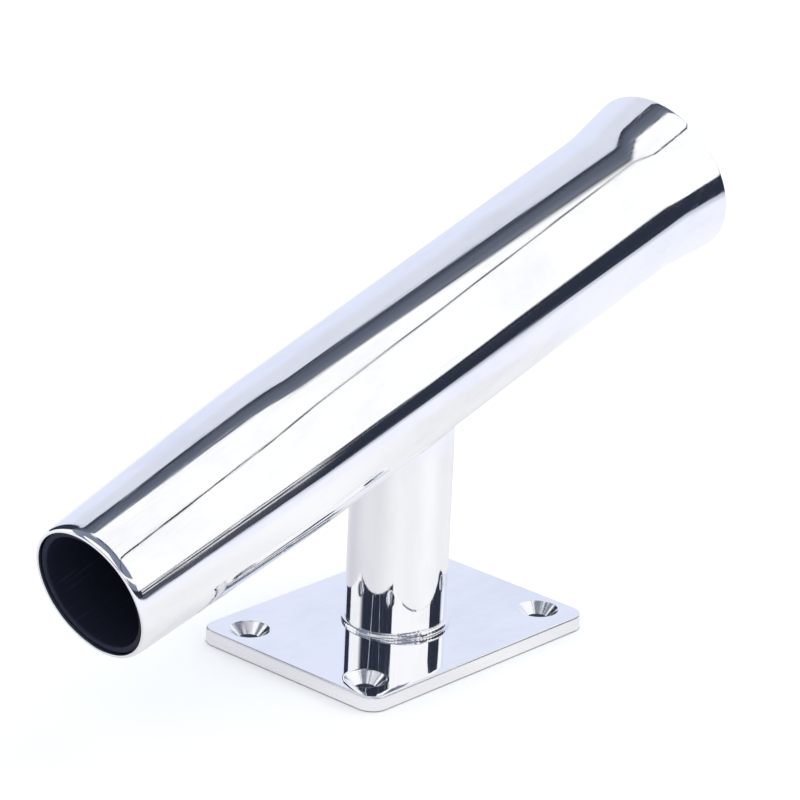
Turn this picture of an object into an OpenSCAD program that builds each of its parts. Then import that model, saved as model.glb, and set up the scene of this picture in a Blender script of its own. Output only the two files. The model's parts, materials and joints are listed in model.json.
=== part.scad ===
// Deck-mount rod holder: a flared tube welded at a slant on a short post,
// which is welded on a rectangular plate with four countersunk screw holes.
// Millimetres. The origin is the centre of the plate's underside, +Z is up,
// and +X is the way that the tube's mouth leans.

/* [Base plate] */
// Length of the plate, along the tube
plate_len = 100; // [94:1:140]
// Width of the plate, across the tube
plate_w = 75; // [64:1:110]
// Thickness of the plate
plate_t = 5; // [4:0.5:8]
// Radius of the plate's corners, seen from above
plate_corner_r = 6; // [3:0.5:9]
// Radius of the soft round along the plate's top edge
plate_edge_r = 0.8; // [0.4:0.1:1.2]
// Distance between screw holes, along the tube
hole_gap_x = 80; // [60:1:86]
// Distance between screw holes, across the tube
hole_gap_y = 50; // [44:1:61]
// Diameter of each screw hole
hole_d = 6.6; // [5:0.1:7.5]
// Diameter of each countersink at the top face
sink_d = 13; // [11:0.1:13.4]

/* [Post] */
// Outer diameter of the post
post_d = 32; // [25:0.5:40]
// Wall of the post
post_wall = 2; // [1.5:0.1:3]
// Height of the tube's centre line above the plate's underside
tube_centre_h = 92; // [80:1:140]

/* [Tube] */
// Outer diameter of the straight stretch of the tube
tube_d = 50.8; // [48:0.1:64]
// Wall of the tube
tube_wall = 1.5; // [1.2:0.1:2.5]
// Lean of the tube above level, in degrees
tube_tilt = 17; // [0:1:30]
// Length from the post's centre line to the rim of the mouth
mouth_len = 124; // [90:1:200]
// Length from the post's centre line to the lower end
heel_len = 139; // [125:1:175]
// How far the flare opens the tube's radius at the mouth
flare_rise = 2.7; // [1:0.1:6]
// Length of the flare
flare_len = 21; // [14:1:30]
// How far the neck draws the tube's radius in at the lower end
neck_draw = 3.1; // [1:0.1:4]
// Length of the neck
neck_len = 77; // [60:1:90]
// Length of the rounding-in at the lower end's outer edge
lip_len = 3; // [2:0.5:5]
// Depth of that rounding-in
lip_drop = 0.8; // [0.4:0.1:1]

/* [Inside] */
// Wall of the plastic liner
liner_wall = 2; // [1:0.1:3]
// Gap between the liner and the tube
liner_gap = 0.2; // [0.1:0.05:0.4]
// Distance that the liner stops short of the mouth's rim
liner_mouth_inset = 2; // [1:0.5:6]
// Distance that the liner stops short of the lower end
liner_heel_inset = 1; // [1:0.5:6]
// Diameter of the stop pin across the neck
pin_d = 6; // [4:0.5:8]
// Distance from the lower end to the stop pin
pin_up = 40; // [30:1:50]
// Gap around the pin where it crosses the liner
pin_gap = 0.2; // [0.1:0.05:0.5]
// Depth of the weld plug over each end of the pin
plug_depth = 0.7; // [0.4:0.1:1.1]

/* [Welds] */
// Reach of the bead around the foot of the post
foot_bead = 1.4; // [1:0.1:3]
// Reach of the bead between the post and the tube
saddle_bead = 1; // [0.6:0.1:2]

/* [Hidden] */
$fn = 180;

tube_r = tube_d / 2;
post_r = post_d / 2;
pin_r = pin_d / 2;
sink_depth = (sink_d - hole_d) / 2;  // a 90 degree countersink
liner_out = tube_wall + liner_gap;   // from the tube's skin in to the liner
liner_in = liner_out + liner_wall;   // from the tube's skin in to the rod bore
pin_at = pin_up - heel_len;
cut = 1;          // how far a cutter runs past the face that it cuts
curve_n = 8;      // steps along each curved stretch of the tube's outline
neck_bend = 18;   // length of the soft bend where the neck starts
flare_bend = 8;   // length of the soft bend where the flare starts
rim_round = 0.7;  // radius of the mouth's outer edge

steel = [0.86, 0.87, 0.90];
bead_steel = [0.72, 0.73, 0.77];
liner_black = [0.07, 0.08, 0.10];

// Rise of a line that starts level and turns to slope over the length bend,
// where x is measured from the corner that the bend rounds off.
function bent_rise(x, slope, bend) =
    x <= -bend / 2 ? 0
    : x >= bend / 2 ? slope * x
    : slope * pow(x + bend / 2, 2) / (2 * bend);

// Radius of the tube's outer skin at the distance z along it from the post.
function skin_r(z) =
    tube_r
    - bent_rise(neck_len - heel_len - z, neck_draw / neck_len, neck_bend)
    + bent_rise(z - mouth_len + flare_len, flare_rise / flare_len, flare_bend);

// Distances along the tube at which its outline turns, between two ends.
function stations(low, high) = concat(
    [low],
    [for (i = [0 : curve_n]) neck_len - heel_len + neck_bend * (i / curve_n - 1 / 2)],
    [for (i = [0 : curve_n]) mouth_len - flare_len + flare_bend * (i / curve_n - 1 / 2)],
    [high]);

// The skin moved in by d, as [radius, distance] points from low to high.
function skin(d, low, high) = [for (z = stations(low, high)) [skin_r(z) - d, z]];

function reversed(list) = [for (i = [len(list) - 1 : -1 : 0]) list[i]];

// Lower end's rounded outer edge, a quarter ellipse up from the end face.
lip_edge = [for (i = [0 : curve_n - 1])
    let (a = 90 * i / curve_n, z = lip_len * (1 - cos(a)) - heel_len)
    [skin_r(z) - lip_drop * (1 - sin(a)), z]];

// The mouth's rounded outer edge, a quarter circle on to the rim's face.
rim_edge = [for (i = [1 : curve_n])
    let (a = 90 * i / curve_n, z = mouth_len - rim_round * (1 - sin(a)))
    [skin_r(z) - rim_round * (1 - cos(a)), z]];

outer_skin = concat(
    lip_edge,
    skin(0, lip_len - heel_len, mouth_len - rim_round),
    rim_edge);

// Moves what is drawn along +Z to the tube's own line.
module on_tube_line() {
    translate([0, 0, tube_centre_h])
        rotate([0, 90 - tube_tilt, 0])
            children();
}

// A round bar on the tube's own line, long enough to cover the joint with the post.
module tube_bar(r) {
    on_tube_line()
        cylinder(r = r, h = 4 * post_d, center = true);
}

// Everything inside the tube's outer skin.
module tube_envelope() {
    rotate_extrude()
        polygon(concat([[0, -heel_len]], outer_skin, [[0, mouth_len]]));
}

// A bar across the tube at the stop pin's place.
module pin_bar(r, half_len) {
    translate([0, 0, pin_at])
        rotate([90, 0, 0])
            cylinder(r = r, h = 2 * half_len, center = true);
}

// A stretch of the plate in section, run long, with a soft round at its outer top corner.
module edge_section(run) {
    square([run, plate_t - plate_edge_r]);
    square([run - plate_edge_r, plate_t]);
    translate([run - plate_edge_r, plate_t - plate_edge_r])
        intersection() {
            circle(r = plate_edge_r);
            square(plate_edge_r);
        }
}

// The plate without its holes: two halves, two end strips and four quarter-round corners.
module plate_blank() {
    corner_x = plate_len / 2 - plate_corner_r;
    corner_y = plate_w / 2 - plate_corner_r;
    for (turn = [90, 270])
        rotate([90, 0, turn])
            linear_extrude(2 * corner_x, center = true)
                edge_section(plate_w / 2);
    for (turn = [0, 180])
        rotate(turn)
            translate([corner_x, 0, 0])
                rotate([90, 0, 0])
                    linear_extrude(2 * corner_y, center = true)
                        edge_section(plate_corner_r);
    for (x = [-1, 1], y = [-1, 1])
        translate([x * corner_x, y * corner_y, 0])
            rotate(atan2(y, x) - 45)
                rotate_extrude(angle = 90)
                    edge_section(plate_corner_r);
}

module screw_hole() {
    translate([0, 0, -cut])
        cylinder(d = hole_d, h = plate_t + 2 * cut);
    translate([0, 0, plate_t - sink_depth])
        cylinder(r1 = hole_d / 2, r2 = sink_d / 2 + cut, h = sink_depth + cut);
}

module base_plate() {
    color(steel)
        difference() {
            plate_blank();
            for (x = [-1, 1], y = [-1, 1])
                translate([x * hole_gap_x / 2, y * hole_gap_y / 2, 0])
                    screw_hole();
        }
}

// A short tube, cut to the tube's round at its top.
module post() {
    color(steel)
        difference() {
            translate([0, 0, plate_t])
                cylinder(r = post_r, h = tube_centre_h - plate_t);
            translate([0, 0, plate_t - cut])
                cylinder(r = post_r - post_wall, h = tube_centre_h);
            tube_bar(tube_r);
        }
}

// A rounded bead in the corner between the post and the plate.
module foot_weld() {
    color(bead_steel)
        translate([0, 0, plate_t])
            rotate_extrude()
                intersection() {
                    translate([post_r, 0])
                        circle(r = foot_bead);
                    translate([post_r, 0])
                        square(foot_bead + cut);
                }
}

// A narrow bead around the joint between the post and the tube.
module saddle_weld() {
    color(bead_steel)
        difference() {
            intersection() {
                cylinder(r = post_r + saddle_bead, h = tube_centre_h);
                tube_bar(tube_r + saddle_bead);
            }
            cylinder(r = post_r, h = tube_centre_h + cut);
            tube_bar(tube_r);
        }
}

// Flared at the mouth, straight, then drawn in to a neck at the lower end.
module holder_tube() {
    color(steel)
        on_tube_line()
            difference() {
                rotate_extrude()
                    polygon(concat(outer_skin, reversed(skin(tube_wall, -heel_len, mouth_len))));
                pin_bar(pin_r, tube_r + cut);
            }
}

// A plastic sleeve that follows the inside of the tube.
module tube_liner() {
    low = liner_heel_inset - heel_len;
    high = mouth_len - liner_mouth_inset;
    color(liner_black)
        on_tube_line()
            difference() {
                rotate_extrude()
                    polygon(concat(skin(liner_out, low, high), reversed(skin(liner_in, low, high))));
                pin_bar(pin_r + pin_gap, tube_r + cut);
            }
}

// The bar that stops the rod's butt, from wall to wall of the neck.
module stop_pin() {
    color(steel)
        on_tube_line()
            pin_bar(pin_r, skin_r(pin_at) - plug_depth);
}

// Weld over each end of the pin, dressed flush with the tube.
module pin_plug_welds() {
    color(bead_steel)
        on_tube_line()
            difference() {
                intersection() {
                    tube_envelope();
                    pin_bar(pin_r, tube_r);
                }
                pin_bar(pin_r + cut, skin_r(pin_at) - plug_depth);
            }
}

base_plate();
post();
foot_weld();
saddle_weld();
holder_tube();
tube_liner();
stop_pin();
pin_plug_welds();
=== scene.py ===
"""Looks of a deck-mount rod holder in mirror-polished steel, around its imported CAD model.

Every length is in metres. The CAD frame has its origin at the centre of the plate's underside,
+Z up, and +X the way that the tube's mouth leans.
"""

import json
from math import atan2, ceil, cos, pi, radians, sin, sqrt

import bmesh
import bpy
from mathutils import Matrix, Vector
from mathutils.geometry import delaunay_2d_cdt


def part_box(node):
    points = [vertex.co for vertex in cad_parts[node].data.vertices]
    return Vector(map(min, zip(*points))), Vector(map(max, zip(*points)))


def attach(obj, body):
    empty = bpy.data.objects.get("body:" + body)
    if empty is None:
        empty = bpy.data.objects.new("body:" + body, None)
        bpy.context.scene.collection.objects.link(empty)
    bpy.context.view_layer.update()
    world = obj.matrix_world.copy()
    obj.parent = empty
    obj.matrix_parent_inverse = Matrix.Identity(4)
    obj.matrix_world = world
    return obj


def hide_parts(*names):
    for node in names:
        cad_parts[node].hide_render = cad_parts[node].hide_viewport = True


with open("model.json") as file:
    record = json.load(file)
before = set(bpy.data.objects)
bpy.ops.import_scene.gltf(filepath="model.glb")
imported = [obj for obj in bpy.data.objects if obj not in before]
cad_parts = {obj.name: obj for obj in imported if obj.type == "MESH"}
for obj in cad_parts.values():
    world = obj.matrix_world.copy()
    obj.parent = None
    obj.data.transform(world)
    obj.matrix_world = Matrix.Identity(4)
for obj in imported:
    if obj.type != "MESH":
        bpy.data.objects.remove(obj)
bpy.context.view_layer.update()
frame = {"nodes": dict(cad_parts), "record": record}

# ---------------------------------------------------------------- sizes

mounts = {m["name"]: m for m in frame["record"]["mounts"]}
plate_low, plate_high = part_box("base_plate")
post_low, post_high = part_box("post")
bead_low, bead_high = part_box("foot_weld")

# Sizes that the boxes and the mounts don't give repeat the CAD model's own. The wear, the
# finest rounds and the counts of turns belong to the finish alone

PLATE_LEN = plate_high.x - plate_low.x
PLATE_WIDTH = plate_high.y - plate_low.y
PLATE_T = plate_high.z
PLATE_CORNER = 0.006
PLATE_ROUND = 0.0008
PLATE_UNDER_ROUND = 0.00025
# Buffing wears the plate's top down a little towards its edge and its holes
EDGE_WEAR = 0.0026
EDGE_WEAR_DROP = 0.00007
SINK_WEAR = 0.0006
SINK_WEAR_DROP = 0.00003
HOLE_R = mounts["base_bolts"]["dims"]["hole_r_mm"] / 1000
HOLE_X = mounts["base_bolts"]["dims"]["spacing_x_mm"] / 2000
HOLE_Y = mounts["base_bolts"]["dims"]["spacing_y_mm"] / 2000
SINK_R = 0.0065
SINK_ROUND = 0.00015

POST_R = (post_high.y - post_low.y) / 2
POST_WALL = 0.002
FOOT_BEAD = (bead_high.y - bead_low.y) / 2 - POST_R

TUBE_AXIS = Vector(mounts["rod_bore"]["axis"]).normalized()
bore_at = Vector(mounts["rod_bore"]["pos_m"])
TUBE_AT = bore_at - TUBE_AXIS * (bore_at.x / TUBE_AXIS.x)
TUBE_R = 0.0254
TUBE_WALL = 0.0015
MOUTH_LEN = 0.124
HEEL_LEN = 0.139
FLARE_RISE = 0.0027
FLARE_LEN = 0.021
FLARE_BEND = 0.008
NECK_DRAW = 0.0031
NECK_LEN = 0.077
NECK_BEND = 0.018
LIP_LEN = 0.003
LIP_DROP = 0.0008
RIM_ROUND = 0.0007
INNER_ROUND = 0.00015
TUBE_TURNS = 288

BORE_R = mounts["rod_bore"]["dims"]["r_mm"] / 1000
LINER_WALL = 0.002
LINER_OUT = TUBE_R - BORE_R - LINER_WALL
LINER_MOUTH_INSET = 0.002
LINER_HEEL_INSET = 0.001
LINER_ROUND = 0.0006
LINER_TURNS = 144
PIN_AT = 0.040 - HEEL_LEN
PIN_R = 0.003
PIN_GAP = 0.0002

SADDLE_LEG = 0.0008
SADDLE_BURY = 0.00006   # how far the fillet's edges sink into the steel
SADDLE_CROWN = 0.00012

CRISP = 35   # degrees between faces from which an edge stays crisp

tube_side = Vector((0, 1, 0))
ON_TUBE_LINE = Matrix.Translation(TUBE_AT) @ Matrix(
    (tube_side.cross(TUBE_AXIS), tube_side, TUBE_AXIS)
).transposed().to_4x4()

# ---------------------------------------------------------------- finishes


def shade(red, green, blue):
    """Screen levels from 0 to 255 as the light that they stand for."""
    return tuple((v / 255 / 12.92 if v < 10.3 else ((v / 255 + 0.055) / 1.055) ** 2.4)
                 for v in (red, green, blue))


class Finish:
    """A node material: one Principled shader and short words for what feeds it."""

    def __init__(self, name, colour, metallic, roughness):
        self.material = bpy.data.materials.new(name)
        self.material.use_nodes = True
        self.tree = self.material.node_tree
        self.shader = self.tree.nodes["Principled BSDF"]
        self.shader.inputs["Base Color"].default_value = (*colour, 1)
        self.shader.inputs["Metallic"].default_value = metallic
        self.shader.inputs["Roughness"].default_value = roughness
        self.place = self.node("ShaderNodeTexCoord").outputs["Object"]

    def node(self, kind, **values):
        made = self.tree.nodes.new(kind)
        for key, value in values.items():
            setattr(made, key, value)
        return made

    def feed(self, socket, value):
        """Links another node's output to the socket, or sets a plain value on it."""
        if isinstance(value, bpy.types.NodeSocket):
            self.tree.links.new(value, socket)
        else:
            socket.default_value = value

    def stretched(self, scale, turn=(0, 0, 0)):
        """Object coordinates turned, then drawn out by scale."""
        lay = self.node("ShaderNodeMapping", vector_type="TEXTURE")
        self.feed(lay.inputs["Vector"], self.place)
        lay.inputs["Rotation"].default_value = turn
        lay.inputs["Scale"].default_value = [1 / s for s in scale]
        return lay.outputs["Vector"]

    def noise(self, where, scale=1.0, detail=2.0, roughness=0.5, distortion=0.0):
        made = self.node("ShaderNodeTexNoise")
        self.feed(made.inputs["Vector"], where)
        for name, value in (("Scale", scale), ("Detail", detail), ("Roughness", roughness),
                            ("Distortion", distortion)):
            made.inputs[name].default_value = value
        return made.outputs["Fac"]

    def spread(self, value, low, high, out_low=0.0, out_high=1.0, smooth=False):
        """Carries the range from low to high on to the range from out_low to out_high."""
        made = self.node("ShaderNodeMapRange",
                         interpolation_type="SMOOTHSTEP" if smooth else "LINEAR")
        self.feed(made.inputs["Value"], value)
        for name, number in (("From Min", low), ("From Max", high),
                             ("To Min", out_low), ("To Max", out_high)):
            made.inputs[name].default_value = number
        return made.outputs["Result"]

    def sum(self, first, second, operation="ADD"):
        """Two values added, or joined by another operation."""
        made = self.node("ShaderNodeMath", operation=operation)
        self.feed(made.inputs[0], first)
        self.feed(made.inputs[1], second)
        return made.outputs[0]

    def blend(self, share, first, second):
        """A colour that goes from first to second; a Mix node's colours are sockets 6, 7 and 2."""
        made = self.node("ShaderNodeMix", data_type="RGBA")
        self.feed(made.inputs["Factor"], share)
        self.feed(made.inputs[6], (*first, 1) if isinstance(first, tuple) else first)
        self.feed(made.inputs[7], (*second, 1) if isinstance(second, tuple) else second)
        return made.outputs[2]

    def relief(self, height, depth, under=None):
        """Bumps that are depth metres high where height goes from 0 to 1."""
        made = self.node("ShaderNodeBump")
        made.inputs["Strength"].default_value = 1.0
        made.inputs["Distance"].default_value = depth
        self.feed(made.inputs["Height"], height)
        if under is not None:
            self.feed(made.inputs["Normal"], under)
        return made.outputs["Normal"]

    def set(self, **sockets):
        """Feeds the shader's sockets, named with _ for a space, and returns the material."""
        for name, value in sockets.items():
            self.feed(self.shader.inputs[name.replace("_", " ")], value)
        return self.material


STEEL = (0.93, 0.935, 0.95)
STEEL_HAZE = (0.86, 0.87, 0.90)
TUBE_TURN = (0, atan2(-TUBE_AXIS.z, TUBE_AXIS.x), 0)


def mirror_steel(name, turn, wave_depth, line_depth, line_haze, haze):
    """Steel buffed to a mirror: long soft waves, buffing lines and patches of haze."""
    f = Finish(name, STEEL, 1.0, 0.05)
    waves = f.noise(f.stretched((16, 55, 55), turn), detail=1.0)
    lines = f.noise(f.stretched((9, 1500, 1500), turn), detail=4.0, roughness=0.6)
    patches = f.noise(f.stretched((30, 60, 60), turn), detail=4.0, roughness=0.62)
    worn = f.spread(patches, 0.42, 0.75, smooth=True)
    polish = f.sum(f.spread(lines, 0.42, 0.72, 0.018, line_haze), f.sum(worn, haze, "MULTIPLY"))
    relief = f.relief(lines, line_depth, f.relief(waves, wave_depth))
    return f.set(Base_Color=f.blend(worn, STEEL, STEEL_HAZE), Roughness=polish, Normal=relief)


def satin_steel(name, scale, roughness, depth):
    """Steel left from the belt or the cutter, with fine lines that scale draws out."""
    f = Finish(name, STEEL, 1.0, roughness)
    grain = f.noise(f.stretched(scale), detail=4.0, roughness=0.65)
    broad = f.noise(f.stretched([s / 9 for s in scale]), detail=2.0)
    tone = f.blend(f.spread(f.sum(grain, broad, "MULTIPLY"), 0.12, 0.42), STEEL_HAZE, STEEL)
    rough = f.spread(grain, 0.3, 0.7, roughness * 0.75, roughness * 1.25)
    return f.set(Base_Color=tone, Roughness=rough, Normal=f.relief(grain, depth))


def weld_steel(name, lump):
    """A bead buffed after welding: fine pits, duller in its creases, and darker and duller in patches
    round its stop.
    """
    f = Finish(name, STEEL, 1.0, 0.1)
    pits = f.noise(f.stretched((1500, 1500, 1500)), detail=3.0, roughness=0.6)
    swirl = f.noise(f.stretched((420, 420, 600)), detail=3.0, distortion=0.8)
    reach = f.node("ShaderNodeVectorMath", operation="DISTANCE")
    f.feed(reach.inputs[0], f.place)
    reach.inputs[1].default_value = lump
    near = f.spread(reach.outputs["Value"], 0.0012, 0.0042, 1.0, 0.0, smooth=True)
    # Near the stop the base colour goes almost black in noise patches, and the roughness rises there.
    stop_dark_patches = f.sum(near, f.spread(swirl, 0.5, 0.62, smooth=True), "MULTIPLY")
    dull = f.sum(f.spread(pits, 0.4, 0.8, 0.07, 0.2), f.sum(stop_dark_patches, 0.25, "MULTIPLY"))
    tone = f.blend(stop_dark_patches, f.blend(f.spread(pits, 0.35, 0.7), STEEL_HAZE, STEEL), (0.1, 0.1, 0.12))
    relief = f.relief(pits, 0.000004, f.relief(swirl, 0.00002))
    return f.set(Base_Color=tone, Roughness=dull, Normal=relief)


def sleeve_plastic(name):
    """Black moulded plastic with a fine grain and faint rub marks along the tube."""
    f = Finish(name, (0.011, 0.012, 0.017), 0.0, 0.42)
    f.shader.inputs["Specular IOR Level"].default_value = 0.1
    grain = f.noise(f.stretched((2600, 2600, 2600)), detail=2.0)
    rubs = f.noise(f.stretched((35, 900, 900), TUBE_TURN), detail=4.0, roughness=0.6)
    worn = f.spread(rubs, 0.55, 0.75, smooth=True)
    tone = f.blend(worn, (0.014, 0.017, 0.034), (0.03, 0.036, 0.062))
    rough = f.sum(f.spread(grain, 0.3, 0.7, 0.5, 0.65), f.sum(worn, -0.1, "MULTIPLY"))
    relief = f.relief(rubs, 0.000006, f.relief(grain, 0.000012))
    return f.set(Base_Color=tone, Roughness=rough, Normal=relief)


# The bead's stop, on the ring round the post's foot
STOP_TURN = radians(-108)
bead_line_r = POST_R + 0.4 * FOOT_BEAD
STOP_AT = (bead_line_r * cos(STOP_TURN), bead_line_r * sin(STOP_TURN), PLATE_T + 0.5 * FOOT_BEAD)

tube_polish = mirror_steel("tube_mirror_polish", TUBE_TURN, 0.00006, 0.000003, 0.17, 0.02)
post_polish = mirror_steel("post_mirror_polish", (0, pi / 2, 0), 0.00001, 0.000002, 0.12, 0.03)
plate_polish = mirror_steel("plate_mirror_polish", (0, 0, 0), 0.000001, 0.0000001, 0.03, 0.004)
rim_polish = satin_steel("rim_buffed_edge", (1200, 1200, 1200), 0.12, 0.000002)
plate_edge_satin = satin_steel("plate_edge_satin", (70, 70, 2600), 0.3, 0.000006)
sink_turned = satin_steel("countersink_turned", (60, 60, 5200), 0.16, 0.000004)
pin_satin = satin_steel("stop_pin_satin", (1800, 60, 1800), 0.22, 0.000004)
bead_buffed = weld_steel("weld_bead_buffed", STOP_AT)
liner_black = sleeve_plastic("liner_black_plastic")

# ---------------------------------------------------------------- shapes


def towards(azimuth, elevation):
    """Unit vector, with azimuth from +X towards +Y, both in degrees."""
    a = radians(azimuth)
    e = radians(elevation)
    return Vector((cos(e) * cos(a), cos(e) * sin(a), sin(e)))


def new_object(name, mesh):
    made = bpy.data.objects.new(name, mesh)
    bpy.context.scene.collection.objects.link(made)
    return made


def merge(mesh):
    """Merges a mesh's doubles, turns its faces outwards and shades them smooth."""
    shell = bmesh.new()
    shell.from_mesh(mesh)
    bmesh.ops.remove_doubles(shell, verts=shell.verts, dist=1e-7)
    bmesh.ops.recalc_face_normals(shell, faces=shell.faces)
    for face in shell.faces:
        face.smooth = True
    shell.to_mesh(mesh)
    shell.free()


def closed_mesh(name, points, faces, materials, face_slots=None, sharp=CRISP):
    """A merged mesh whose edges over sharp degrees stay crisp."""
    mesh = bpy.data.meshes.new(name)
    mesh.from_pydata([tuple(p) for p in points], [], faces)
    for material in materials:
        mesh.materials.append(material)
    if face_slots:
        mesh.polygons.foreach_set("material_index", face_slots)
    merge(mesh)
    mesh.set_sharp_from_angle(angle=radians(sharp))
    return new_object(name, mesh)


def ring_faces(turns, count):
    """Faces round a closed section of count points that is carried once round in turns steps."""
    faces = []
    for i in range(turns):
        here = i * count
        there = (i + 1) % turns * count
        for j in range(count):
            k = (j + 1) % count
            faces.append((here + j, there + j, there + k, here + k))
    return faces


def turned(name, outline, place, turns, materials, slots=None):
    """A closed outline of (radius, height) points, turned about the height axis."""
    count = len(outline)
    points = []
    for i in range(turns):
        turn = 2 * pi * i / turns
        points += [place @ Vector((r * cos(turn), r * sin(turn), z)) for r, z in outline]
    face_slots = (slots or [0] * count) * turns
    return closed_mesh(name, points, ring_faces(turns, count), materials, face_slots)


def arc(centre, reach, start, end, steps):
    """Points on an ellipse's arc from start to end, in degrees."""
    turns = [radians(start + (end - start) * i / steps) for i in range(steps + 1)]
    return [(centre[0] + reach[0] * cos(t), centre[1] + reach[1] * sin(t)) for t in turns]


def between(low, high, step):
    """Values from low to high, both left out, about step apart."""
    count = max(1, ceil((high - low) / step))
    return [low + (high - low) * i / count for i in range(1, count)]


def bent_rise(x, slope, bend):
    """A line that starts level and turns to slope over the length bend, round its corner at 0."""
    if x <= -bend / 2:
        return 0.0
    if x >= bend / 2:
        return slope * x
    return slope * (x + bend / 2) ** 2 / (2 * bend)


def skin_r(z):
    """Radius of the tube's outer skin at the distance z along it from the post."""
    neck = bent_rise(NECK_LEN - HEEL_LEN - z, NECK_DRAW / NECK_LEN, NECK_BEND)
    flare = bent_rise(z - MOUTH_LEN + FLARE_LEN, FLARE_RISE / FLARE_LEN, FLARE_BEND)
    return TUBE_R - neck + flare


def tube_outline():
    """The tube in section, as (radius, distance along it) points, and each span's material."""
    points = []
    lip_steps = 10
    rim_steps = 8
    inner_steps = 5
    for i in range(lip_steps):
        turn = radians(90 * i / lip_steps)
        z = LIP_LEN * (1 - cos(turn)) - HEEL_LEN
        points.append((skin_r(z) - LIP_DROP * (1 - sin(turn)), z))
    low = LIP_LEN - HEEL_LEN
    high = MOUTH_LEN - RIM_ROUND
    points += [(skin_r(z), z) for z in [low, *between(low, high, 0.0013), high]]
    for i in range(1, rim_steps + 1):
        turn = radians(90 * i / rim_steps)
        z = MOUTH_LEN - RIM_ROUND * (1 - sin(turn))
        points.append((skin_r(z) - RIM_ROUND * (1 - cos(turn)), z))
    skin_spans = len(points)
    reach = (INNER_ROUND, INNER_ROUND)
    mouth_in = MOUTH_LEN - INNER_ROUND
    heel_in = INNER_ROUND - HEEL_LEN
    inner = skin_r(MOUTH_LEN) - TUBE_WALL
    points += arc((inner + INNER_ROUND, mouth_in), reach, 90, 180, inner_steps)
    points += [(skin_r(z) - TUBE_WALL, z) for z in reversed(between(heel_in, mouth_in, 0.003))]
    inner = skin_r(heel_in) - TUBE_WALL
    points += arc((inner + INNER_ROUND, heel_in), reach, 180, 270, inner_steps)
    return points, [0] * skin_spans + [1] * (len(points) - skin_spans)


def liner_outline():
    """The plastic sleeve in section, with softly rounded ends."""
    low = LINER_HEEL_INSET - HEEL_LEN
    high = MOUTH_LEN - LINER_MOUTH_INSET
    low_round = low + LINER_ROUND
    high_round = high - LINER_ROUND
    reach = (LINER_ROUND, LINER_ROUND)
    steps = 5
    top_out = skin_r(high) - LINER_OUT
    low_out = skin_r(low) - LINER_OUT
    points = arc((low_out - LINER_ROUND, low_round), reach, -90, 0, steps)
    points += [(skin_r(z) - LINER_OUT, z) for z in between(low_round, high_round, 0.004)]
    points += arc((top_out - LINER_ROUND, high_round), reach, 0, 90, steps)
    points += arc((top_out - LINER_WALL + LINER_ROUND, high_round), reach, 90, 180, steps)
    points += [(skin_r(z) - LINER_OUT - LINER_WALL, z)
               for z in reversed(between(low_round, high_round, 0.002))]
    points += arc((low_out - LINER_WALL + LINER_ROUND, low_round), reach, 180, 270, steps)
    return points


def baked(piece):
    """The piece's modifiers made into its mesh."""
    graph = bpy.context.evaluated_depsgraph_get()
    mesh = bpy.data.meshes.new_from_object(piece.evaluated_get(graph))
    piece.modifiers.clear()
    piece.data = mesh
    return piece


def without_slivers(mesh):
    """Cuts a mesh into clean triangles, and drops those that lie back to back and enclose nothing."""
    shell = bmesh.new()
    shell.from_mesh(mesh)
    bmesh.ops.remove_doubles(shell, verts=shell.verts, dist=1e-6)
    bmesh.ops.dissolve_degenerate(shell, edges=shell.edges, dist=1e-6)
    bmesh.ops.triangulate(shell, faces=shell.faces, quad_method="BEAUTY", ngon_method="BEAUTY")
    same_points = {}
    for face in shell.faces:
        same_points.setdefault(frozenset(face.verts), []).append(face)
    slivers = [face for group in same_points.values() if len(group) > 1 for face in group]
    bmesh.ops.delete(shell, geom=slivers, context="FACES_ONLY")
    shell.to_mesh(mesh)
    shell.free()


def drilled(piece, drill):
    """Cuts drill out of piece."""
    cut = piece.modifiers.new("pin_holes", "BOOLEAN")
    cut.operation = "DIFFERENCE"
    cut.solver = "EXACT"
    cut.object = drill
    bpy.context.view_layer.update()
    baked(piece)
    bpy.data.objects.remove(drill)
    without_slivers(piece.data)
    piece.data.set_sharp_from_angle(angle=radians(CRISP))
    return piece


def round_loop(centre, r, z, turns=96):
    """Points on a level circle."""
    angles = [2 * pi * i / turns for i in range(turns)]
    return [Vector((centre[0] + r * cos(a), centre[1] + r * sin(a), z)) for a in angles]


def pin_drill():
    """A round bar across the tube, a little thicker than the stop pin."""
    across = ON_TUBE_LINE @ Matrix.Translation((0, 0, PIN_AT)) @ Matrix.Rotation(pi / 2, 4, "X")
    ends = [round_loop((0, 0), PIN_R + PIN_GAP, z) for z in (-TUBE_R, TUBE_R)]
    count = len(ends[0])
    points = [across @ p for end in ends for p in end]
    faces = [(i, (i + 1) % count, count + (i + 1) % count, count + i) for i in range(count)]
    faces += [tuple(range(count)), tuple(range(count, 2 * count))]
    return closed_mesh("pin_drill", points, faces, [liner_black])


def plate_loop(inset, z, corner_steps=20):
    """Points round the plate, inset from its outline, at the height z."""
    r = PLATE_CORNER - inset
    x = PLATE_LEN / 2 - PLATE_CORNER
    y = PLATE_WIDTH / 2 - PLATE_CORNER
    points = []
    for quarter, (sx, sy) in enumerate(((1, 1), (-1, 1), (-1, -1), (1, -1))):
        for i in range(corner_steps + 1):
            turn = (quarter + i / corner_steps) * pi / 2
            points.append(Vector((sx * x + r * cos(turn), sy * y + r * sin(turn), z)))
    return points


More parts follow.
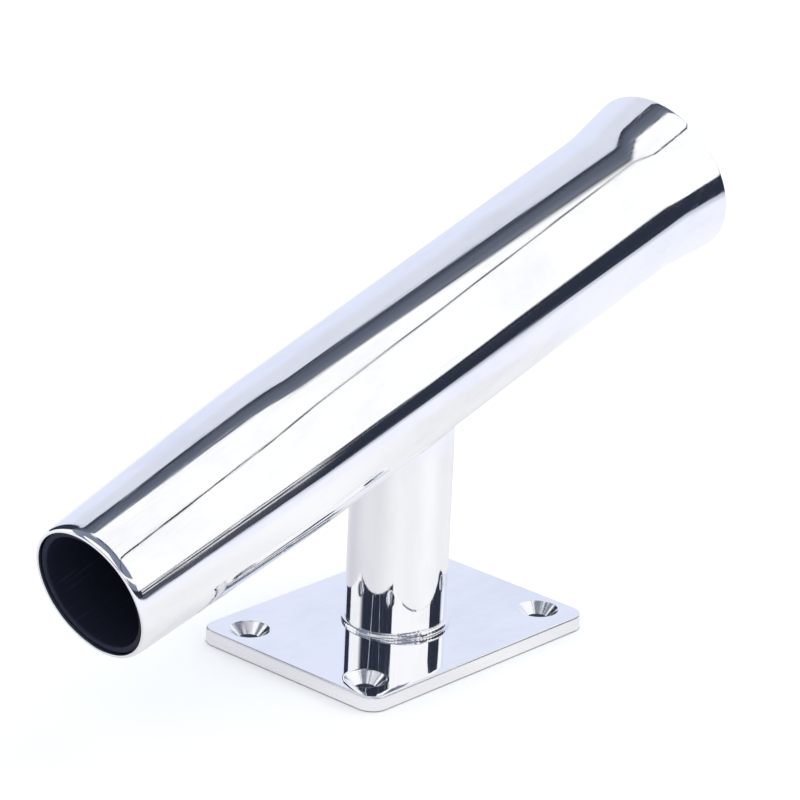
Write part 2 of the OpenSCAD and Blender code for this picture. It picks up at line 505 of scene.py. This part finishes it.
def base_plate_piece():
    """A mirror top with four countersunk holes, a soft round along its edge, and satin sides."""
    points = []
    faces = []
    slots = []

    def wrap(loops, slot):
        """Faces from each loop to the next."""
        for first, second in zip(loops, loops[1:]):
            start = len(points)
            count = len(first)
            points.extend(first + second)
            for i in range(count):
                k = (i + 1) % count
                faces.append((start + i, start + k, start + count + k, start + count + i))
                slots.append(slot)

    def sheet(outer, holes, slot):
        """A flat face inside the loop outer, open at the loops of holes."""
        flat = [p.to_2d() for loop in (outer, *holes) for p in loop]
        loops = [tuple(range(len(outer)))]
        start = len(outer)
        for hole in holes:
            loops.append(tuple(reversed(range(start, start + len(hole)))))
            start += len(hole)
        made = delaunay_2d_cdt(flat, [], loops, 2, 1e-9)
        base = len(points)
        points.extend(Vector((p.x, p.y, outer[0].z)) for p in made[0])
        faces.extend(tuple(base + i for i in face) for face in made[2])
        slots.extend([slot] * len(made[2]))

    steps = 8
    shares = [i / steps for i in range(steps + 1)]
    dip_steps = 5
    edge_top = PLATE_T - EDGE_WEAR_DROP
    under = PLATE_UNDER_ROUND
    rim = arc((PLATE_ROUND, edge_top - PLATE_ROUND), (-PLATE_ROUND, PLATE_ROUND), 0, 86, 10)
    worn = [(PLATE_ROUND + (EDGE_WEAR - PLATE_ROUND) * t, PLATE_T - EDGE_WEAR_DROP * (1 - t) ** 2)
            for t in shares]
    foot = arc((under, under), (-under, -under), 90, 0, 4)
    sink_top = PLATE_T - SINK_WEAR_DROP
    sink_foot = PLATE_T - (SINK_R - HOLE_R)
    lip = arc((SINK_R + SINK_ROUND, sink_top - SINK_ROUND), (SINK_ROUND, SINK_ROUND), 86, 135, 4)
    dip = [(lip[0][0] + SINK_WEAR * (1 - t), PLATE_T - SINK_WEAR_DROP * t ** 2)
           for t in [i / dip_steps for i in range(dip_steps)]]
    cone = [(lip[-1][0] + (HOLE_R - lip[-1][0]) * t, lip[-1][1] + (sink_foot - lip[-1][1]) * t)
            for t in shares]
    side = [(HOLE_R, z) for z in (sink_foot, 0.4 * sink_foot, under)]
    hole_foot = arc((HOLE_R + under, under), (under, under), 180, 270, 4)
    wrap([plate_loop(inset, z) for inset, z in foot + rim[:9]], 1)
    wrap([plate_loop(inset, z) for inset, z in rim[8:-1] + worn], 0)
    tops = []
    feet = []
    for x in (-HOLE_X, HOLE_X):
        for y in (-HOLE_Y, HOLE_Y):
            for outline, slot in ((dip + lip, 0), (cone, 2), (side + hole_foot[1:], 1)):
                wrap([round_loop((x, y), r, z) for r, z in outline], slot)
            tops.append(round_loop((x, y), *dip[0]))
            feet.append(round_loop((x, y), *hole_foot[-1]))
    sheet(plate_loop(EDGE_WEAR, PLATE_T), tops, 0)
    sheet(plate_loop(under, 0), feet, 1)
    piece = closed_mesh("base_plate_polished", points, faces,
                        [plate_polish, plate_edge_satin, sink_turned], slots, sharp=30)
    for face in piece.data.polygons:
        if abs(face.normal.z) > 0.9999:
            face.use_smooth = False
    return piece


def saddle_z(x, y, r=TUBE_R):
    """Height at which the line up from (x, y) meets the round of r on the tube's line."""
    return TUBE_AT.z + (x * TUBE_AXIS.z - sqrt(r * r - y * y)) / TUBE_AXIS.x


def post_piece():
    """A short tube, coped at its top to sit on the holder tube's skin."""
    turns = 288
    rows = 72
    points = []
    for r in (POST_R, POST_R - POST_WALL):
        for i in range(turns):
            x = r * cos(2 * pi * i / turns)
            y = r * sin(2 * pi * i / turns)
            top = saddle_z(x, y)
            points += [Vector((x, y, PLATE_T + (top - PLATE_T) * j / rows)) for j in range(rows + 1)]
    faces = []
    column = rows + 1
    inside = turns * column
    for i in range(turns):
        here = i * column
        there = (i + 1) % turns * column
        for j in range(rows):
            faces.append((here + j, there + j, there + j + 1, here + j + 1))
            faces.append((inside + here + j, inside + here + j + 1,
                          inside + there + j + 1, inside + there + j))
        for j in (0, rows):
            faces.append((here + j, there + j, inside + there + j, inside + here + j))
    return closed_mesh("post_polished", points, faces, [post_polish])


def saddle_weld_piece():
    """A fine hollow fillet, buffed smooth, all round the joint of the post and the tube."""
    turns = 360
    steps = 8
    points = []
    for i in range(turns):
        turn = 2 * pi * i / turns
        out = Vector((cos(turn), sin(turn), 0))
        joint = out * POST_R
        joint.z = saddle_z(joint.x, joint.y)
        from_line = joint - TUBE_AT
        off_tube = (from_line - TUBE_AXIS * from_line.dot(TUBE_AXIS)).normalized()
        along = off_tube.cross(out).normalized()
        down = out.cross(along)
        down *= 1 if down.dot(off_tube) > 0 else -1
        away = along.cross(off_tube)
        away *= 1 if away.dot(out) > 0 else -1
        leg = SADDLE_LEG * (1 + 0.06 * sin(46 * turn) + 0.05 * sin(17 * turn + 1))
        low = joint + down * leg - out * SADDLE_BURY
        high = joint + away * leg - off_tube * SADDLE_BURY
        for k in range(steps + 1):
            t = k / steps
            points.append(low * (1 - t) ** 2 + joint * 2 * t * (1 - t) + high * t ** 2
                          + (out + off_tube) * SADDLE_CROWN * sin(pi * t))
        points.append(joint - (out + off_tube) * 2 * SADDLE_BURY)
    faces = ring_faces(turns, steps + 2)
    return closed_mesh("saddle_weld_fillet", points, faces, [bead_buffed], sharp=60)


# ---------------------------------------------------------------- the foot's weld bead


class Steps:
    """A Geometry Nodes tree with named inputs."""

    def __init__(self, name):
        self.tree = bpy.data.node_groups.new(name, "GeometryNodeTree")
        self.tree.interface.new_socket("Geometry", in_out="OUTPUT", socket_type="NodeSocketGeometry")
        self.inputs = {}

    def ask(self, name, kind):
        """Adds a named input."""
        socket = self.tree.interface.new_socket(name, in_out="INPUT", socket_type=kind)
        self.inputs[name] = socket.identifier

    def open(self):
        """Makes the inputs' node, once all of them are named."""
        self.given = self.tree.nodes.new("NodeGroupInput").outputs

    def node(self, kind, wires=None, **values):
        """A node with its own settings, and its inputs wired or set."""
        made = self.tree.nodes.new(kind)
        for key, value in values.items():
            setattr(made, key, value)
        for key, value in (wires or {}).items():
            if isinstance(value, bpy.types.NodeSocket):
                self.tree.links.new(value, made.inputs[key])
            else:
                made.inputs[key].default_value = value
        return made

    def math(self, operation, *values):
        return self.node("ShaderNodeMath", dict(enumerate(values)), operation=operation).outputs[0]


def bead_tree():
    """A ring of weld: ripples as even as a hand lays them, and a lump where the run stops."""
    s = Steps("weld_bead_ring")
    for name, kind in (("Ring Radius", "NodeSocketFloat"), ("Height", "NodeSocketFloat"),
                       ("Bead Size", "NodeSocketFloat"), ("Ripples", "NodeSocketFloat"),
                       ("Ripple Depth", "NodeSocketFloat"), ("Unevenness", "NodeSocketFloat"),
                       ("Stop", "NodeSocketVector"), ("Stop Reach", "NodeSocketFloat"),
                       ("Stop Size", "NodeSocketFloat"), ("Build-up Side", "NodeSocketVector"),
                       ("Build-up Height", "NodeSocketFloat"), ("Build-up Size", "NodeSocketFloat"),
                       ("Seed", "NodeSocketFloat"), ("Steel", "NodeSocketMaterial")):
        s.ask(name, kind)
    s.open()
    ring = s.node("GeometryNodeCurvePrimitiveCircle",
                  {"Resolution": 900, "Radius": s.given["Ring Radius"]}, mode="RADIUS")
    lift = s.node("ShaderNodeCombineXYZ", {"Z": s.given["Height"]})
    raised = s.node("GeometryNodeTransform",
                    {"Geometry": ring.outputs["Curve"], "Translation": lift.outputs[0]})
    place = s.node("GeometryNodeInputPosition").outputs[0]
    lean = s.node("ShaderNodeVectorMath", {0: place, 1: s.given["Build-up Side"]},
                  operation="DOT_PRODUCT").outputs["Value"]
    heap = s.node("ShaderNodeMapRange",
                  {"Value": s.math("DIVIDE", lean, s.given["Ring Radius"]),
                   "From Min": -0.3, "From Max": 1.0, "To Min": 0.0, "To Max": 1.0},
                  interpolation_type="SMOOTHSTEP").outputs["Result"]
    step_up = s.node("ShaderNodeCombineXYZ", {"Z": s.math("MULTIPLY", heap, s.given["Build-up Height"])})
    raised = s.node("GeometryNodeSetPosition",
                    {"Geometry": raised.outputs["Geometry"], "Offset": step_up.outputs[0]})
    wander = s.node("ShaderNodeTexNoise", {"Vector": place, "W": s.given["Seed"], "Scale": 160.0,
                                           "Detail": 2.0}, noise_dimensions="4D").outputs["Fac"]
    wander = s.math("SUBTRACT", wander, 0.5)
    factor = s.node("GeometryNodeSplineParameter").outputs["Factor"]
    pace = s.math("MULTIPLY", factor, s.given["Ripples"])
    pace = s.math("ADD", pace, s.math("MULTIPLY", wander, 1.2))
    wave = s.math("ABSOLUTE", s.math("SINE", s.math("MULTIPLY", pace, pi)))
    ripple = s.math("MULTIPLY", s.math("POWER", wave, 0.6), s.given["Ripple Depth"])
    uneven = s.math("MULTIPLY", wander, s.given["Unevenness"])
    away = s.node("ShaderNodeVectorMath", {0: place, 1: s.given["Stop"]}, operation="DISTANCE")
    near = s.node("ShaderNodeMapRange",
                  {"Value": s.math("DIVIDE", away.outputs["Value"], s.given["Stop Reach"]),
                   "From Min": 0.0, "From Max": 1.0, "To Min": 1.0, "To Max": 0.0},
                  interpolation_type="SMOOTHSTEP").outputs["Result"]
    lumps = s.node("ShaderNodeTexNoise", {"Vector": place, "W": s.given["Seed"], "Scale": 900.0,
                                          "Detail": 1.0}, noise_dimensions="4D").outputs["Fac"]
    lump = s.math("MULTIPLY", near, s.math("MULTIPLY", s.math("ADD", lumps, 0.1), s.given["Stop Size"]))
    heaped = s.math("ADD", 1.0, s.math("MULTIPLY", heap, s.given["Build-up Size"]))
    size = s.math("ADD", s.math("ADD", heaped, ripple), s.math("ADD", uneven, lump))
    profile = s.node("GeometryNodeCurvePrimitiveCircle",
                     {"Resolution": 28, "Radius": s.given["Bead Size"]}, mode="RADIUS")
    bead = s.node("GeometryNodeCurveToMesh",
                  {"Curve": raised.outputs["Geometry"], "Profile Curve": profile.outputs["Curve"],
                   "Scale": size})
    smooth = s.node("GeometryNodeSetShadeSmooth", {"Geometry": bead.outputs["Mesh"]})
    real = s.node("GeometryNodeRealizeInstances", {"Geometry": smooth.outputs[0]})
    steel = s.node("GeometryNodeSetMaterial",
                   {"Geometry": real.outputs[0], "Material": s.given["Steel"]})
    out = s.tree.nodes.new("NodeGroupOutput")
    s.tree.links.new(steel.outputs[0], out.inputs["Geometry"])
    return s


def foot_weld_piece():
    """The bead round the post's foot, built up a little on one side."""
    steps = bead_tree()
    piece = new_object("foot_weld_bead", bpy.data.meshes.new("foot_weld_bead"))
    grown = piece.modifiers.new("bead", "NODES")
    grown.node_group = steps.tree
    values = {"Ring Radius": POST_R + 0.12 * FOOT_BEAD, "Height": PLATE_T + 0.15 * FOOT_BEAD,
              "Bead Size": 0.74 * FOOT_BEAD, "Ripples": 74.0, "Ripple Depth": 0.03,
              "Unevenness": 0.1, "Stop": STOP_AT, "Stop Reach": 0.003, "Stop Size": 0.3,
              "Build-up Side": towards(-65, 0), "Build-up Height": 0.0008, "Build-up Size": 0.12,
              "Seed": 4.0, "Steel": bead_buffed}
    for name, value in values.items():
        grown[steps.inputs[name]] = value
    baked(piece)
    merge(piece.data)
    return piece


# ---------------------------------------------------------------- the finished pieces

tube_points, tube_slots = tube_outline()
tube = turned("holder_tube_polished", tube_points, ON_TUBE_LINE, TUBE_TURNS,
              [tube_polish, rim_polish], tube_slots)
sleeve = turned("tube_liner_sleeve", liner_outline(), ON_TUBE_LINE, LINER_TURNS, [liner_black])
liner = drilled(sleeve, pin_drill())

for piece, slot, nodes in (
        (base_plate_piece(), "polished_steel", ["base_plate"]),
        (post_piece(), "polished_steel", ["post"]),
        (foot_weld_piece(), "weld_steel", ["foot_weld"]),
        (saddle_weld_piece(), "weld_steel", ["saddle_weld"]),
        (tube, "polished_steel", ["holder_tube", "pin_plug_welds"]),
        (liner, "liner_plastic", ["tube_liner"])):
    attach(piece, "root")
    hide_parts(*nodes)

for slot in frame["nodes"]["stop_pin"].material_slots:
    slot.material = pin_satin

# ---------------------------------------------------------------- floor, light and camera

DARK = shade(46, 51, 65)
WHITE = shade(255, 255, 255)
LAVENDER = shade(224, 229, 247)
GREY_LAVENDER = shade(217, 220, 232)
GLOW_STRENGTH = 1.08
CARD_STEPS = 48       # faces along each side of a card
STUDIO_R = 3.0        # how far off the small cards stand
CEILING = 1.09        # height of the overhead panel
PANEL_SIDE = 0.69     # x - y on its right edge
WALL_BEHIND = 0.024   # how much further out the wall on the right stands
WALL_FOOT = 0.137     # height at which the wall's white starts
BACKDROP_AT = 1.06    # how far behind the post the backdrop stands


def glow_shader(name):
    """A material that glows as the attribute glow says, with its colour node and its light node."""
    material = bpy.data.materials.new(name)
    material.use_nodes = True
    nodes = material.node_tree.nodes
    nodes.clear()
    colour = nodes.new("ShaderNodeAttribute")
    colour.attribute_name = "glow"
    light = nodes.new("ShaderNodeEmission")
    light.inputs["Strength"].default_value = GLOW_STRENGTH
    out = nodes.new("ShaderNodeOutputMaterial")
    material.node_tree.links.new(colour.outputs["Color"], light.inputs["Color"])
    material.node_tree.links.new(light.outputs[0], out.inputs["Surface"])
    return material, colour, light


def fading_glow_shader(name):
    """A glow that gives way to the room's dark from the second mirror to the third."""
    material, colour, light = glow_shader(name)
    nodes = material.node_tree.nodes
    path = nodes.new("ShaderNodeLightPath")
    fade = nodes.new("ShaderNodeMapRange")
    fade.inputs["From Min"].default_value = 2.0
    fade.inputs["From Max"].default_value = 3.0
    mix = nodes.new("ShaderNodeMix")
    mix.data_type = "RGBA"
    mix.inputs[7].default_value = (*DARK, 1)
    links = material.node_tree.links
    links.new(path.outputs["Glossy Depth"], fade.inputs["Value"])
    links.new(fade.outputs["Result"], mix.inputs["Factor"])
    links.new(colour.outputs["Color"], mix.inputs[6])
    links.new(mix.outputs[2], light.inputs["Color"])
    return material


studio_glow = glow_shader("studio_glow")[0]
table_glow = fading_glow_shader("table_glow")


def mixed(first, second, share):
    """Share 0 is first and 1 is second."""
    return [a + (b - a) * share for a, b in zip(first, second)]


def eased(x):
    """A soft step from 0 to 1."""
    x = min(1.0, max(0.0, x))
    return x * x * (3 - 2 * x)


def ramp(stops, share):
    """Colour at share along stops of (share, colour)."""
    for (low, first), (high, second) in zip(stops, stops[1:]):
        if share <= high:
            return mixed(first, second, eased((share - low) / (high - low)))
    return stops[-1][1]


def glowing(name, points, faces, glows, material):
    """A mesh that only mirrors see, with a glow for each point."""
    mesh = bpy.data.meshes.new(name)
    mesh.from_pydata([tuple(p) for p in points], [], faces)
    mesh.attributes.new("glow", "FLOAT_COLOR", "POINT").data.foreach_set("color", glows)
    mesh.materials.append(material)
    made = new_object(name, mesh)
    made.visible_camera = False
    made.visible_diffuse = False
    made.visible_shadow = False
    return made


def card(name, corners, stops, soft=(0, 0, 0, 0), steps=CARD_STEPS, material=None, tint=None):
    """A glowing card with four corners, lit by stops from its low to its high edge.

    soft holds how far in its left, right, low and high edge fade out, as shares of the card."""
    low_left, low_right, high_right, high_left = corners
    points = []
    glows = []
    for j in range(steps + 1):
        v = j / steps
        for i in range(steps + 1):
            u = i / steps
            low = low_left * (1 - u) + low_right * u
            high = high_left * (1 - u) + high_right * u
            at = low * (1 - v) + high * v
            points.append(at)
            edges = zip((u, 1 - u, v, 1 - v), soft)
            share = min(eased(gap / fade) if fade else 1.0 for gap, fade in edges)
            colour = ramp(stops, v)
            if tint:
                colour = tint(at, colour)
            glows += [*mixed(DARK, colour, share), 1.0]
    row = steps + 1
    faces = [(j * row + i, j * row + i + 1, (j + 1) * row + i + 1, (j + 1) * row + i)
             for j in range(steps) for i in range(steps)]
    return glowing(name, points, faces, glows, material or studio_glow)


def far_card(name, corners, stops, soft=(0, 0, 0, 0)):
    """A card by the azimuth and elevation of its corners."""
    return card(name, [STUDIO_R * towards(*c) for c in corners], stops, soft)


def upright_card(name, left, right, low, high, stops, soft=(0, 0, 0, 0)):
    """A card standing on the line from left to right."""
    corners = [Vector((*end, z)) for end, z in ((left, low), (right, low), (right, high), (left, high))]
    return card(name, corners, stops, soft)


def level_card(name, height, corners, stops, soft=(0, 0, 0, 0), steps=CARD_STEPS):
    """A card lying level, by the x and y of its corners."""
    return card(name, [Vector((*c, height)) for c in corners], stops, soft, steps)


DIM = shade(122, 130, 150)
plain = [(0, WHITE), (1, WHITE)]
dim = [(0, DIM), (1, DIM)]
pale = [(0, shade(196, 202, 218)), (1, shade(214, 219, 232))]

# Behind the object, square to the azimuth 20
facing = towards(20, 0)
across = Vector((facing.y, -facing.x, 0))
back_left = facing * BACKDROP_AT - across * 1.46
back_right = facing * BACKDROP_AT + across * 0.80
upright_card("backdrop", back_left.xy, back_right.xy, -0.3, 2.4,
             [(0, LAVENDER), (0.38, LAVENDER), (0.58, GREY_LAVENDER), (1, GREY_LAVENDER)],
             (0, 0.07, 0, 0))
# Overhead: a white panel, the dim ceiling behind it, and the dim ceiling over the camera
level_card("overhead_panel", CEILING,
           [(-0.04, 0.45), (-0.04, -0.73), (0.52, -0.17), (-0.02, 0.43)],
           plain, (0, 0, 0.02, 0.1), 2 * CARD_STEPS)
level_card("dim_ceiling", CEILING + 0.03,
           [(0.016, 1.151), (0.958, -0.5), (0.65, -0.35), (-0.55, 0.85)],
           [(0, shade(50, 56, 70)), (0.4, shade(90, 96, 110)), (1, shade(120, 126, 140))],
           (0, 0, 0.02, 0))
level_card("camera_ceiling", CEILING + 0.02,
           [(-2.1, 1.2), (-1.3, -1.8), (-0.1, -0.8), (-0.1, 1.2)], dim)
level_card("camera_panel", CEILING + 0.01,
           [(-2.0, 0.6), (-2.0, -2.0), (-0.35, -0.36), (-0.35, 0.6)],
           plain, (0.1, 0.04, 0.02, 0.1))


def wall(name, left, right, low, high, stops, soft=(0, 0, 0, 0)):
    """A stretch of the wall on the right, between two x; low and high are its z at left and right."""
    near, far = [(x, x - PANEL_SIDE - WALL_BEHIND) for x in (left, right)]
    places = ((near, low[0]), (far, low[1]), (far, high[1]), (near, high[0]))
    card(name, [Vector((*end, z)) for end, z in places], stops, soft)


wall("right_wall", 0, 0.30, (WALL_FOOT, WALL_FOOT), (1.045, 1.062), plain)
wall("right_wall_end", 0.30, 0.75, (0.27, 0.27), (1.062, 1.08), plain)
wall("right_wall_far", -1.145, 0, (0.88, 0.26), (1.05, 0.38), plain)
wall("right_wall_far_low", -1.145, 0, (WALL_FOOT, WALL_FOOT), (0.88, 0.26), dim)
wall("right_wall_far_high", -1.145, 0, (1.05, 0.38), (CEILING, CEILING), dim)
# The wall's foot is grey, with two bright slits along it
foot_grey = shade(76, 80, 90)
foot_slit = shade(250, 251, 253)
wall("wall_foot", 0.10, 0.26, (-0.02, -0.02), (WALL_FOOT, WALL_FOOT),
     [(0, foot_grey), (0.56, foot_grey), (0.6, foot_slit), (0.64, foot_slit), (0.68, foot_grey),
      (0.8, foot_grey), (0.84, foot_slit), (0.87, foot_slit), (0.91, foot_grey), (1, foot_grey)],
     (0, 0.5, 0, 0))
card("near_wall",
     [Vector((0.144, -0.207, 0.122)), Vector((0.25, -0.09, 0.161)),
      Vector((0.25, -0.09, 0.21)), Vector((0.144, -0.207, 0.195))], plain)
upright_card("front_wall", (-1.80, -1.26), (-1.145, -1.859), 0.25, CEILING,
             plain, (0.04, 0, 0.06, 0))
far_card("side_softbox", [(99, -3), (144, -3), (144, 60), (99, 60)], plain, (0.02, 0.3, 0, 0))
far_card("left_fill", [(69, 34), (215, 34), (215, 70), (69, 70)], pale, (0, 0, 0.1, 0))
far_card("left_low_fill", [(128, -4), (214, -4), (214, 13), (128, 13)], pale, (0.06, 0.1, 0, 0.2))
far_card("right_fill", [(-50, 28), (-12, 28), (-12, 50), (-50, 50)], pale, (0, 0, 0.2, 0))

TABLE_DROP = -0.0006
TABLE_GREY = shade(204, 207, 220)
TABLE_PALE = shade(242, 244, 255)
TABLE_FRONT = -0.531   # y of its front edge in line with the post
TABLE_SLANT = 0.42     # rise of that edge's y with x
TABLE_BACK = 1.8
TABLE_LEFT = -1.3
TABLE_RIGHT = 1.6
# Near the post the table is brightest on the side that the light comes from, in soft sectors
TABLE_TONE = 0.8
TABLE_LEAN = 0.12
TABLE_SECTORS = 5
TABLE_SECTOR_DEPTH = 0.03
LIGHT_SIDE = radians(280)
TINT_REACH = 0.21
TINT_FADE = 0.05


def table_tint(at, colour):
    """The table's colour at a point, shaded near the post."""
    azimuth = atan2(at.y, at.x)
    tone = (TABLE_TONE + TABLE_LEAN * cos(azimuth - LIGHT_SIDE)
            + TABLE_SECTOR_DEPTH * cos(TABLE_SECTORS * azimuth))
    near = eased((TINT_REACH - at.xy.length) / TINT_FADE)
    return mixed(colour, (tone, tone, tone ** 0.85), near)


front_edge = [Vector((x, TABLE_FRONT + TABLE_SLANT * x, TABLE_DROP)) for x in (TABLE_LEFT, TABLE_RIGHT)]
back_edge = [Vector((x, TABLE_BACK, TABLE_DROP)) for x in (TABLE_RIGHT, TABLE_LEFT)]
card("reflected_table", front_edge + back_edge,
     [(0, TABLE_GREY), (0.035, TABLE_GREY), (0.075, TABLE_PALE), (1, TABLE_PALE)],
     (0, 0, 0.02, 0), 5 * CARD_STEPS, table_glow, table_tint)
# Painted shadow: a dark card under the plate and 0.4 mm past its edge. Mirrors show it as a dark contact
# line at the plate's foot and as darkness in its holes.
shadow = plate_loop(-0.0004, TABLE_DROP / 2)
glowing("painted_contact_shadow_card", shadow, [tuple(range(len(shadow)))], [*DARK, 1.0] * len(shadow), studio_glow)

FLOOR_REACH = 9.0
floor_mesh = bpy.data.meshes.new("floor")
floor_mesh.from_pydata([(x * FLOOR_REACH, y * FLOOR_REACH, 0)
                        for x, y in ((-1, -1), (1, -1), (1, 1), (-1, 1))], [], [(0, 1, 2, 3)])
floor = new_object("floor", floor_mesh)
floor.location.z = -0.0002
floor.visible_glossy = False
floor_finish = Finish("floor_white", (0.9, 0.9, 0.9), 0.0, 0.9)
paper = floor_finish.noise(floor_finish.stretched((3, 3, 3)), detail=2.0)
floor_finish.set(Base_Color=floor_finish.blend(paper, (0.965, 0.985, 0.995), (0.985, 0.99, 0.99)),
                 Emission_Color=(0.95, 0.98, 1.0, 1), Emission_Strength=0.14)
floor_mesh.materials.append(floor_finish.material)

# Mirrors see a dark room past the cards, and all else gets an even pale light
world = bpy.data.worlds.new("studio")
bpy.context.scene.world = world
world.use_nodes = True
sky = world.node_tree
sky.nodes.clear()
soft_light = sky.nodes.new("ShaderNodeBackground")
soft_light.inputs["Color"].default_value = (0.97, 0.985, 1.0, 1)
soft_light.inputs["Strength"].default_value = 1.0
dark_room = sky.nodes.new("ShaderNodeBackground")
dark_room.inputs["Color"].default_value = (*DARK, 1)
which = sky.nodes.new("ShaderNodeLightPath")
either = sky.nodes.new("ShaderNodeMixShader")
sky_out = sky.nodes.new("ShaderNodeOutputWorld")
sky.links.new(which.outputs["Is Glossy Ray"], either.inputs[0])
sky.links.new(soft_light.outputs[0], either.inputs[1])
sky.links.new(dark_room.outputs[0], either.inputs[2])
sky.links.new(either.outputs[0], sky_out.inputs["Surface"])
bpy.context.scene.view_settings.view_transform = "Standard"

key = bpy.data.objects.new("key_light", bpy.data.lights.new("key_light", "AREA"))
bpy.context.scene.collection.objects.link(key)
key.data.shape = "DISK"
key.data.size = 0.6
key.data.energy = 2.0
key.visible_glossy = False
key.location = Vector((1.0, -0.4, 1.1))
key.rotation_euler = (-key.location).to_track_quat("-Z", "Y").to_euler()

# The camera looks ahead, and the plate's top centre falls AIM_RIGHT to the right of the middle
# of its view and AIM_DOWN below it, as shares of its distance
VIEW_AZIMUTH = radians(48.109)
VIEW_ELEVATION = radians(20.572)
VIEW_ROLL = radians(2.574)
VIEW_DISTANCE = 1.31861
AIM_RIGHT = -0.001238
AIM_DOWN = 0.052283
LENS = 188.18
ahead = Vector((sin(VIEW_AZIMUTH) * cos(VIEW_ELEVATION), cos(VIEW_AZIMUTH) * cos(VIEW_ELEVATION),
                -sin(VIEW_ELEVATION)))
level = ahead.cross(Vector((0, 0, 1))).normalized()
upright = level.cross(ahead)
right = level * cos(VIEW_ROLL) + upright * sin(VIEW_ROLL)
up = upright * cos(VIEW_ROLL) - level * sin(VIEW_ROLL)
camera = bpy.data.objects.new("camera", bpy.data.cameras.new("camera"))
bpy.context.scene.collection.objects.link(camera)
camera.data.lens = LENS
camera.data.sensor_width = 36
camera.data.clip_start = 0.05
camera.data.clip_end = 50
camera.matrix_world = Matrix.Translation(
    Vector((0, 0, PLATE_T)) - VIEW_DISTANCE * (ahead + right * AIM_RIGHT - up * AIM_DOWN)
) @ Matrix((right, up, -ahead)).transposed().to_4x4()
bpy.context.scene.camera = camera
